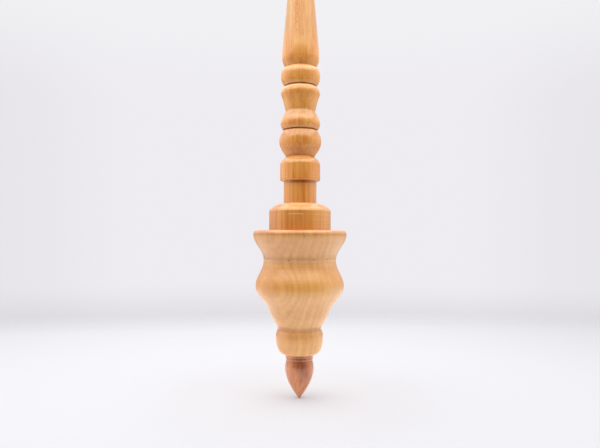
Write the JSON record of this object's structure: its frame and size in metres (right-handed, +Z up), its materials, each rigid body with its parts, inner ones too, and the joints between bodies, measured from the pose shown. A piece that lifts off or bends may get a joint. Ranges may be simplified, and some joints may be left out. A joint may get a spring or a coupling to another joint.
{
  "type": "hand spindle",
  "caption": "Turned wooden hand spindle with a beaded, tapered shaft that pulls out of a capped, waisted whorl over a dark wood point.",
  "frame": {"origin": "tip of the point, on the axis", "axes": "+Z up the axis from the tip of the point to the free end of the shaft; the object is turned, so X and Y are any two square directions"},
  "size_m": [0.052, 0.052, 0.3],
  "materials": {
    "point_wood": "satin reddish fruitwood, oiled",
    "whorl_wood": "satin pale maple with slanting growth bands, waxed",
    "cap_wood": "satin honey maple, straight grain, waxed",
    "shaft_wood": "satin honey maple, straight grain with two burned lines, waxed"
  },
  "bodies": {
    "whorl_body": {"whorl": "whorl_wood", "cap": "cap_wood", "point": "point_wood"},
    "shaft_body": {"shaft": "shaft_wood"}
  },
  "joints": [
    {"name": "shaft_pull", "type": "slide", "parent": "whorl_body", "child": "shaft_body", "axis": [0, 0, 1], "range_m": [0, 0.04]}
  ]
}
